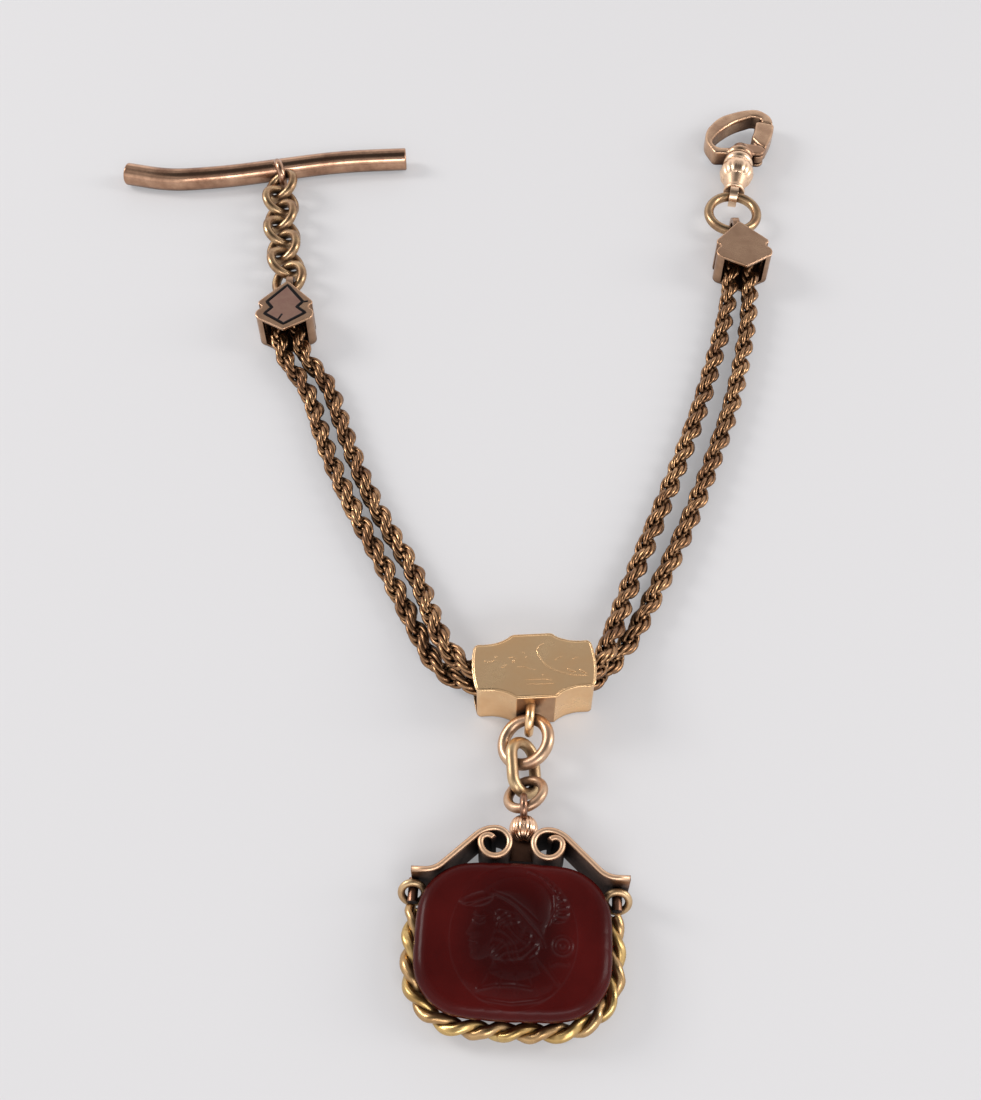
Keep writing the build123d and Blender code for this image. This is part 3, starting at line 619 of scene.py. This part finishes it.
# The cut lines: depth, width and points; a line with a depth below zero stands up
CUT_LINES = [
    (-0.12, 0.34, [(-3.9, 2.35), (-1.6, 3.3), (0.0, 2.35), (1.4, 0.85), (2.3, -0.1), (2.6, -1.0)]),
    (-0.07, 0.25, [(-1.9, 3.8), (-0.4, 3.3), (1.0, 2.3), (2.2, 1.2)]),
    (-0.12, 0.26, [(1.1, 5.4), (2.4, 4.8), (3.4, 3.6), (3.5, 2.2), (2.9, 0.9)]),
    (0.10, 0.3, [(-3.35, 1.1), (-2.95, 0.95), (-2.6, 1.1)]),
    (-0.08, 0.22, [(-3.4, 1.45), (-2.9, 1.4), (-2.45, 1.5)]),
    (-0.06, 0.14, [(-3.7, -0.75), (-3.1, -0.8)]),
    (0.12, 0.5, [(3.2, -2.35), (3.8, -2.1), (4.5, -2.2)]),
    (0.10, 0.4, [(1.9, -1.6), (2.9, -2.7), (3.8, -3.9)]),
    *[(0.06, 0.3, [(lean * 0.72, -3.4), (lean, -4.9)]) for lean in (-3.0, -1.3, 0.4, 2.1)],
    (0.14, 0.36, [(-2.7, -4.6), (-1.4, -4.25), (0.2, -4.2), (1.6, -4.4)]),
    (0.16, 0.32, [(-4.4, -4.95), (-2.5, -5.5), (0.0, -5.72), (2.2, -5.4), (3.8, -4.75)]),
]
CURL_DEPTH = 0.09
CREST_LINE_DEPTH = 0.07
CREST_LINES = 30
CREST_MIDDLE = (0.9, 1.9)
VOLUTE_CENTRE = (4.15, -0.75)
# Depth, radius and half width of the volute's ring and of its eye
VOLUTE = [(0.16, 0.72, 0.2), (0.18, 0, 0.26)]


def stone_outline():
    """Reach of the stone's girdle from its middle, for every direction, in millimetres."""
    to_local = seal_axes.inverted()
    rim = [to_local @ v.co / MM for v in cad_nodes["seal_stone"].data.vertices]
    rim = sorted(set((round(math.atan2(p.y, p.x), 4), round(math.hypot(p.x, p.y), 4)) for p in rim
                     if abs(p.z - STONE_GIRDLE) < GIRDLE_TOLERANCE))
    angles, reach = np.array(rim).T
    return np.concatenate((angles - 2 * np.pi, angles, angles + 2 * np.pi)), np.tile(reach, 3)


def soft_step(value, low, high):
    share = np.clip((value - low) / (high - low), 0, 1)
    return share * share * (3 - 2 * share)


def distance_to_piece(x, y, start, end):
    """Distance of each point from one straight piece of a line."""
    (ax, ay), (bx, by) = start, end
    run = (bx - ax) ** 2 + (by - ay) ** 2
    share = np.clip(((x - ax) * (bx - ax) + (y - ay) * (by - ay)) / run, 0, 1)
    return np.hypot(x - ax - share * (bx - ax), y - ay - share * (by - ay))


def shape_depth(x, y, corners, soft):
    """How deep inside a closed outline each point lies, from 0 outside to 1 past the soft width."""
    nearest = np.full(x.shape, np.inf)
    inside = np.zeros(x.shape, bool)
    for (ax, ay), (bx, by) in zip(corners, np.roll(corners, -1, axis=0)):
        nearest = np.minimum(nearest, distance_to_piece(x, y, (ax, ay), (bx, by)))
        crosses = (ay > y) != (by > y)
        level = ax + (y - ay) * (bx - ax) / np.where(by == ay, 1e-9, by - ay)
        inside ^= crosses & (x < level)
    return np.where(inside, 1 - (1 - np.clip(nearest / soft, 0, 1)) ** 2, 0)


def smooth_outline(corners):
    """Cuts the corners of a closed outline twice, which leaves it round."""
    points = np.array(corners, float)
    for cut in range(2):
        points = cut_corners(points, np.roll(points, -1, axis=0))
    return points


def line_depth(x, y, points, width):
    """A rounded groove along an open line, 1 at its middle."""
    pieces = [distance_to_piece(x, y, start, end) for start, end in zip(points[:-1], points[1:])]
    return np.exp(-(np.min(pieces, axis=0) / (width / 2)) ** 2)


def engraved(x, y):
    """Depth of the engraving below the stone's top, in millimetres."""
    y = y - ENGRAVING_RISE
    depth = np.zeros(x.shape)
    for outline, deep, soft in SUNK_FORMS:
        depth = np.maximum(depth, deep * shape_depth(x, y, smooth_outline(outline), soft))
    hair = shape_depth(x, y, smooth_outline(HAIR), 0.5)
    # Waves about 1.2 mm long, bent by longer ones
    curls = np.sin(x * 5.2 + 1.7 * np.sin(y * 2.3)) * np.sin(y * 5.6 + 1.9 * np.sin(x * 2.1))
    depth += CURL_DEPTH * hair * curls
    crest = shape_depth(x, y, smooth_outline(CREST), 0.3)
    crest_angle = np.arctan2(y - CREST_MIDDLE[1], x - CREST_MIDDLE[0])
    depth += CREST_LINE_DEPTH * crest * np.cos(crest_angle * CREST_LINES)
    for deep, width, points in CUT_LINES:
        depth += deep * line_depth(x, y, points, width)
    away = np.hypot(x - VOLUTE_CENTRE[0], y - VOLUTE_CENTRE[1])
    for deep, radius, half_width in VOLUTE:
        depth += deep * np.exp(-((away - radius) / half_width) ** 2)
    return depth


def sunk(x, y):
    """Depth below the stone's top: the oval's faint step, the fine raised line round it, and the engraving.

    The reach is 1 on the oval's edge.
    """
    reach = np.hypot(x / MEDALLION_HALF_WIDTH, y / MEDALLION_HALF_HEIGHT)
    step = MEDALLION_STEP * soft_step(-reach, -1.0, -0.955)
    ridge = MEDALLION_RIDGE * np.exp(-((reach - 0.985) / 0.014) ** 2)
    return step - ridge + engraved(x, y) * soft_step(-reach, -1.0, -0.9) * ENGRAVING_SHARE


def make_stone():
    angles, reach = stone_outline()
    stone = bmesh.new()
    bmesh.ops.create_grid(stone, x_segments=STONE_CELLS, y_segments=STONE_CELLS, size=1)
    square = np.array([v.co for v in stone.verts])
    inset = np.maximum(np.abs(square[:, 0]), np.abs(square[:, 1]))
    angle = np.arctan2(square[:, 1] * STONE_HALF_HEIGHT, square[:, 0] * STONE_HALF_WIDTH)
    radius = np.interp(angle, angles, reach)
    x = inset * radius * np.cos(angle)
    y = inset * radius * np.sin(angle)
    edge = (1 - inset) * radius
    crown = (1 - np.clip(1 - edge / SHOULDER_RUN, 0, 1) ** SHOULDER_POWER) ** (1 / SHOULDER_POWER)
    z = STONE_GIRDLE + (STONE_TOP - STONE_GIRDLE) * crown - sunk(x, y)
    for vert, place in zip(stone.verts, np.stack((x, y, z), axis=1) * MM):
        vert.co = place
    rim = [e for e in stone.edges if e.is_boundary]
    for drop, pull in STONE_SIDES:
        made = bmesh.ops.extrude_edge_only(stone, edges=rim)["geom"]
        low = [g for g in made if isinstance(g, bmesh.types.BMVert)]
        rim = [g for g in made if isinstance(g, bmesh.types.BMEdge) and g.is_boundary]
        bmesh.ops.translate(stone, verts=low, vec=(0, 0, -drop * MM))
        bmesh.ops.scale(stone, verts=low, vec=(pull, pull, 1))
    bmesh.ops.edgenet_fill(stone, edges=rim)
    bmesh.ops.recalc_face_normals(stone, faces=stone.faces)
    bmesh.ops.transform(stone, matrix=seal_axes, verts=stone.verts)
    return to_mesh(stone, "carnelian_stone")


add_piece("carnelian_stone", make_stone(), make_carnelian(), replaced=("seal_stone",))


# Strokes and rims

STROKE_FLAT = 0.35
STROKE_TIP = 0.12
STROKE_SWELL = 0.6
TOP_TOLERANCE = 0.01
CORNER_GAP = 0.05
RIM_STEP = 0.2


def stroke(points, width, place, turn, level):
    """A stroke that swells in its middle, on a level surface."""
    fine = np.array(points, float)
    for cut in range(2):
        fine = np.concatenate((fine[:1], cut_corners(fine[:-1], fine[1:]), fine[-1:]))
    cos, sin = math.cos(math.radians(turn)), math.sin(math.radians(turn))
    x = place[0] + fine[:, 0] * cos - fine[:, 1] * sin
    y = place[1] + fine[:, 0] * sin + fine[:, 1] * cos
    swell = np.sin(np.linspace(STROKE_TIP, np.pi - STROKE_TIP, len(fine))) ** STROKE_SWELL
    return bead("stroke", np.stack((x, y, np.full(len(fine), level)), axis=1), width / 2 * swell, STROKE_FLAT)


def top_rim(node, level, centre):
    """Corner points of a node's level top face, in order round its centre, in millimetres."""
    rim = set()
    for vertex in cad_nodes[node].data.vertices:
        x, y, z = vertex.co / MM
        if abs(z - level) < TOP_TOLERANCE:
            rim.add((round(x, 3), round(y, 3)))
    rim = np.array(sorted(rim, key=lambda p: math.atan2(p[1] - centre[1], p[0] - centre[0])))
    keep = [0]
    for number in range(1, len(rim)):
        if np.hypot(*(rim[number] - rim[keep[-1]])) > CORNER_GAP:
            keep.append(number)
    return rim[keep]


def rim_bead(name, node, level, centre, radius, reach):
    """Bead just below a node's top face, moved outwards from its rim by the reach."""
    rim = top_rim(node, level, centre)
    loop = np.concatenate((rim, rim[:1]))
    along = lengths_along(loop)
    rim = points_at(np.linspace(0, along[-1], round(along[-1] / RIM_STEP), endpoint=False), along, loop)
    ahead = unit(np.roll(rim, -1, axis=0) - np.roll(rim, 1, axis=0))
    rim = rim + right_of(ahead) * reach
    return bead(name, np.column_stack((rim, np.full(len(rim), level - radius))), radius, closed=True)


# Frame of the stone: a plain and a ridged strand twisted round each other

TWIST_TO_STONE = 0.38
TWIST_REST = 1.4
TWIST_PITCH = 4.6
TWIST_HELIX = 0.38
TWIST_TOP = STONE_HALF_HEIGHT - 3.63
FRAME_POINTS = 900
PLAIN_RADIUS = 0.47
RIDGED_RADIUS = 0.42
RIDGE_DEPTH = 0.08
RIDGE_PITCH = 1.3


def frame_path(step):
    """Line of the twisted strands round three sides of the stone, in the seal's own axes."""
    angles, reach = stone_outline()
    start = math.atan2(TWIST_TOP, -STONE_HALF_WIDTH - TWIST_TO_STONE)
    turn = np.linspace(start, 3 * np.pi - start, FRAME_POINTS)
    radius = np.interp(turn, angles, reach)
    line = np.stack((radius * np.cos(turn), radius * np.sin(turn)), axis=1)
    line += right_of(unit(np.gradient(line, axis=0))) * TWIST_TO_STONE
    along = lengths_along(line)
    marks = np.linspace(0, along[-1], round(along[-1] / step))
    return marks, points_at(marks, along, line)


def strand(name, phase, step, corners, skin):
    """One twisted strand; skin gives its radius from the length along it and the angle round it."""
    marks, line = frame_path(step)
    flat = np.zeros(len(marks))
    ahead = np.column_stack((unit(np.gradient(line, axis=0)), flat))
    across = np.stack((ahead[:, 1], -ahead[:, 0], flat), axis=1)
    top = np.array((0.0, 0.0, 1.0))
    angle = (2 * np.pi * marks / TWIST_PITCH + phase)[:, None]
    outward = across * np.cos(angle) + top * np.sin(angle)
    centre = np.column_stack((line, flat + TWIST_REST)) + outward * TWIST_HELIX
    way = unit(ahead + (top * np.cos(angle) - across * np.sin(angle)) * (2 * np.pi * TWIST_HELIX / TWIST_PITCH))
    beside = np.cross(way, outward)
    turn = full_turn(corners)
    radius = skin(marks[:, None], turn[None, :])[:, :, None]
    rings = centre[:, None, :] + radius * (outward[:, None, :] * np.cos(turn)[None, :, None]
                                           + beside[:, None, :] * np.sin(turn)[None, :, None])
    mesh = tube_mesh(name, rings)
    mesh.transform(seal_axes)
    return mesh


def plain_skin(along, turn):
    """A round wire, a little dented and uneven."""
    return PLAIN_RADIUS + 0.04 * np.sin(along * 2.1) * np.cos(turn * 2) + 0.02 * np.sin(along * 5.3)


def ridged_skin(along, turn):
    """Three ridges that wind round the wire."""
    return RIDGED_RADIUS + RIDGE_DEPTH * np.abs(np.cos(1.5 * turn - np.pi * along / RIDGE_PITCH))


add_piece("wire_plain_strand",
          strand("wire_plain_strand", phase=0, step=0.14, corners=14, skin=plain_skin),
          metals["strand_gilt"], replaced=("seal_wire_plain",))
add_piece("wire_ridged_strand",
          strand("wire_ridged_strand", phase=math.pi, step=0.09, corners=24, skin=ridged_skin),
          metals["ridged_gilt"], replaced=("seal_wire_ridged",))


# Reeded ball of the yoke and the fluted ball of the swivel

REED_DEPTH = 0.07
REED_CORNERS = 8
BALL_PLACE = (0.57, STONE_HALF_HEIGHT + 3.86, 1.81)
BALL_RADIUS = 1.235
CLASP_PLACE = (37.79, 53.32, 2.1)
CLASP_TURN = -11.5
SHELL_BACK = 5.2
SHELL_RADIUS = 2.09


def reeded(name, radius, reeds, first, last, rows, axes):
    """A ball with reeds about its own Y, from the first to the last angle off its pole, in radians."""
    polar = np.linspace(first, last, rows)[:, None]
    turn = full_turn(reeds * REED_CORNERS)[None, :]
    fade = np.sin(polar) ** 0.5
    reach = radius + REED_DEPTH * (np.abs(np.cos(turn * reeds / 2)) * fade)
    rings = np.stack((reach * np.sin(polar) * np.cos(turn), reach * np.cos(polar) + turn * 0,
                      reach * np.sin(polar) * np.sin(turn)), axis=-1)
    mesh = tube_mesh(name, rings)
    mesh.transform(axes)
    return mesh


ball_axes = seal_axes @ Matrix.Translation(Vector(BALL_PLACE) * MM)
add_piece("reeded_ball", reeded("reeded_ball", BALL_RADIUS, reeds=18, first=0.12, last=math.pi - 0.3, rows=26,
                                axes=ball_axes), metals["ball_gilt"])
clasp_axes = axes_at(CLASP_PLACE, CLASP_TURN)
shell_axes = clasp_axes @ Matrix.Translation(Vector((0, -SHELL_BACK, 0)) * MM)
add_piece("swivel_shell", reeded("swivel_shell", SHELL_RADIUS, reeds=14, first=0.92, last=2.35, rows=22,
                                 axes=shell_axes), metals["lit_swivel_gilt"])


# Hook and gate, rubbed round at their edges

RUBBED_CELL = 0.09
RUBBED_ROUNDS = 14
RUBBED_SHARE = 0.5
SAME_POINT = 0.001


def rubbed_mesh(name, node):
    """A node's form with its edges worn round: meshed again in small cells, and smoothed."""
    form = bmesh.new()
    form.from_mesh(cad_nodes[node].data)
    bmesh.ops.remove_doubles(form, verts=form.verts, dist=SAME_POINT * MM)
    mesh = to_mesh(form, name)
    holder = add_object(name, mesh)
    cells = holder.modifiers.new("cells", "REMESH")
    cells.mode = "VOXEL"
    cells.voxel_size = RUBBED_CELL * MM
    rub = holder.modifiers.new("rub", "SMOOTH")
    rub.factor = RUBBED_SHARE
    rub.iterations = RUBBED_ROUNDS
    bpy.context.view_layer.update()
    result = bpy.data.meshes.new_from_object(holder.evaluated_get(bpy.context.evaluated_depsgraph_get()))
    bpy.data.objects.remove(holder)
    bpy.data.meshes.remove(mesh)
    return result


for body in ("hook", "gate"):
    add_piece("rubbed_" + body, rubbed_mesh("rubbed_" + body, "swivel_" + body), metals["clasp_gilt"],
              body=body, replaced=("swivel_" + body,))


# Slide: bright rims, a rayed sprig on the left, a leaf scroll on the right and a darker panel of painted shade on
# its south side

SLIDE_PLACE = (9.0, -26.82)
SLIDE_TURN = 3
SLIDE_TOP = 5.4
SLIDE_RIM_RADIUS = 0.13
SLIDE_RIM_REACH = 0.14
SHADE_PANEL_SIZE = (3.55, 0.03, 4.85)
SHADE_PANEL_PLACE = (0, -3.355, 2.6)
# Strokes on the slide's top: width, and points from the slide's middle
SCROLL_LINES = [
    (0.16, [(0.36, 1.68), (0.47, 1.16), (0.78, 0.47), (1.11, -0.06), (1.8, -0.6), (2.65, -0.98), (3.66, -1.23),
            (4.96, -1.35)]),
    (0.12, [(0.36, 1.68), (0.62, 2.1), (1.1, 2.35)]),
    (0.16, [(-4.65, 0.72), (-4.37, 0.53), (-3.69, 0.74)]),
    (0.14, [(-3.68, 1.04), (-3.45, 1.17)]),
    (0.2, [(-3.12, -0.09), (-2.85, 0.07), (-2.62, 0.17)]),
    (0.1, [(-2.36, 0.89), (-1.91, 1.03), (-1.7, 0.77)]),
    (0.12, [(-0.99, 1.5), (-0.78, 1.32)]),
    (0.12, [(-0.81, 0.89), (-0.58, 0.96)]),
    (0.2, [(3.13, -0.53), (3.4, -0.77), (3.86, -0.93)]),
    (0.2, [(4.27, -0.64), (4.39, -0.87), (4.87, -1.1)]),
    (0.1, [(1.96, 0.37), (2.2, 0.65), (2.73, 0.79)]),
    (0.1, [(3.66, 0.49), (4.27, 0.71)]),
    (0.08, [(-1.68, -0.08), (-0.95, -0.12), (0.05, -0.54)]),
    (0.07, [(-0.97, -1.54), (0.42, -1.5), (1.72, -1.68)]),
    (0.08, [(-0.86, -1.96), (0.96, -2.06), (1.84, -2.02)]),
    (0.26, [(-2.02, 0.57), (-1.8, 0.57)]),
    (0.14, [(0.66, -1.08), (0.8, -1.08)]),
]


# A thin darker sheet on the slide's south face: painted shade from the lid and the drop ring
def front_shade_panel():
    panel = bmesh.new()
    bmesh.ops.create_cube(panel, size=1)
    bmesh.ops.scale(panel, verts=panel.verts, vec=Vector(SHADE_PANEL_SIZE) * MM)
    bmesh.ops.translate(panel, verts=panel.verts, vec=Vector(SHADE_PANEL_PLACE) * MM)
    bmesh.ops.transform(panel, matrix=axes_at((*SLIDE_PLACE, 0), SLIDE_TURN), verts=panel.verts)
    return to_mesh(panel, "slide_shade_panel")


strokes = [stroke(points, width, SLIDE_PLACE, SLIDE_TURN, SLIDE_TOP) for width, points in SCROLL_LINES]
add_piece("slide_scrolls", joined("slide_scrolls", strokes), metals["pale_gilt"])
add_piece("slide_rim", rim_bead("slide_rim", "centre_slide", SLIDE_TOP, SLIDE_PLACE, SLIDE_RIM_RADIUS,
                                SLIDE_RIM_REACH), metals["pale_gilt"])
add_piece("slide_shade_panel", front_shade_panel(), metals["shade_panel_gilt"], smooth=False)


# Worn, rounded edge of the yoke's strap, in a brighter copy of the gilt that paints its highlight

YOKE_SHIFT = 0.42
YOKE_DEPTH = 4.1
YOKE_SPAN = STONE_HALF_WIDTH + 1.1
YOKE_PLATE = STONE_HALF_HEIGHT - 1.15
SCROLL_CENTRE = (STONE_HALF_WIDTH - 6.07, STONE_HALF_HEIGHT + 1.65)
SCROLL_RADIUS = 1.28
CURL_RADIUS = 0.62
SHOULDER_RADIUS = 2.4
FOOT_RADIUS = 2.2
STRAP_SLOPE = 44.5
EDGE_SINK = 0.11
EDGE_RADIUS = 0.27
EDGE_FLAT = 0.85
END_INSET = 0.05


def arc(centre, radius, first, last, count=14):
    """Points on an arc between two angles in degrees."""
    turn = np.radians(np.linspace(first, last, count))
    return np.stack((centre[0] + radius * np.cos(turn), centre[1] + radius * np.sin(turn)), axis=1)


def strap_edge(side):
    """Bead on the strap's upper edge, from the scroll's curl to the end plate."""
    slope = math.radians(STRAP_SLOPE)
    curl = (SCROLL_CENTRE[0] + SCROLL_RADIUS - CURL_RADIUS, SCROLL_CENTRE[1])
    shoulder = (SCROLL_CENTRE[0], SCROLL_CENTRE[1] + SCROLL_RADIUS - SHOULDER_RADIUS)
    top = (shoulder[0] + SHOULDER_RADIUS * math.sin(slope), shoulder[1] + SHOULDER_RADIUS * math.cos(slope))
    foot_y = YOKE_PLATE + FOOT_RADIUS * (1 - math.cos(slope))
    foot_x = top[0] + (top[1] - foot_y) / math.tan(slope)
    foot = (foot_x + FOOT_RADIUS * math.sin(slope), YOKE_PLATE + FOOT_RADIUS)
    line = np.concatenate((
        arc(curl, CURL_RADIUS, 140, 4), arc(SCROLL_CENTRE, SCROLL_RADIUS, 360, 94, 30),
        arc(shoulder, SHOULDER_RADIUS, 90, 90 - STRAP_SLOPE),
        arc(foot, FOOT_RADIUS, 272 - STRAP_SLOPE, 270), [(YOKE_SPAN - END_INSET, YOKE_PLATE)],
    ))
    line[:, 0] *= side
    line[:, 0] += YOKE_SHIFT
    level = np.full(len(line), YOKE_DEPTH - EDGE_SINK)
    mesh = bead("edge", np.column_stack((line, level)), EDGE_RADIUS, EDGE_FLAT)
    mesh.transform(seal_axes)
    return mesh


add_piece("yoke_edge", joined("yoke_edge", [strap_edge(1), strap_edge(-1)]), metals["lit_edge_gilt"])


# Left cap: a black line in enamel round a dark field; both caps have a rim

CAP_TOP = 4.4
CAP_CENTRES = {"left_cap": (-19.0, 22.0), "right_cap": (35.52, 32.4)}
CAP_RIM_RADIUS = 0.1
CAP_RIM_REACH = 0.06
ENAMEL_LINE = [(-19.05, 25.3), (-21.2, 22.55), (-20.53, 21.6), (-21.3, 20.65), (-18.97, 18.98), (-16.62, 20.78),
               (-17.67, 21.7), (-17.04, 22.55)]
ENAMEL_TAILS = [[(-17.1, 22.5), (-16.42, 22.62)], [(-19.62, 19.7), (-19.25, 20.55)]]
LINE_PARTS = 10
FIELD_RISE = 0.015
FIELD_THICKNESS = 0.02


def enamel_line():
    """The line with its two short tails, low beads on the cap's top."""
    corners = np.array(ENAMEL_LINE)
    points = []
    for here, ahead in zip(corners, np.roll(corners, -1, axis=0)):
        for share in np.arange(LINE_PARTS) / LINE_PARTS:
            points.append(here + (ahead - here) * share)
    points = np.column_stack((points, np.full(len(points), CAP_TOP)))
    lines = [bead("line", points, radius=0.22, flat=0.2, closed=True)]
    for tail in ENAMEL_TAILS:
        lines.append(bead("line", np.column_stack((tail, (CAP_TOP, CAP_TOP))), radius=0.15, flat=0.24))
    return joined("enamel_line", lines)


def enamel_field():
    """The dark field inside the line, a hair above the cap."""
    field = bmesh.new()
    corners = [field.verts.new(Vector((*corner, CAP_TOP + FIELD_RISE)) * MM) for corner in ENAMEL_LINE]
    face = field.faces.new(corners)
    made = bmesh.ops.extrude_face_region(field, geom=[face])["geom"]
    low = [g for g in made if isinstance(g, bmesh.types.BMVert)]
    bmesh.ops.translate(field, verts=low, vec=(0, 0, -FIELD_THICKNESS * MM))
    bmesh.ops.recalc_face_normals(field, faces=field.faces)
    return to_mesh(field, "enamel_field")


add_piece("enamel_line", enamel_line(), make_enamel())
add_piece("enamel_field", enamel_field(), metals["field_gilt"], smooth=False)
for node, centre in CAP_CENTRES.items():
    add_piece(node + "_rim", rim_bead(node + "_rim", node, CAP_TOP, centre, CAP_RIM_RADIUS, CAP_RIM_REACH),
              metals["rose_gilt"])
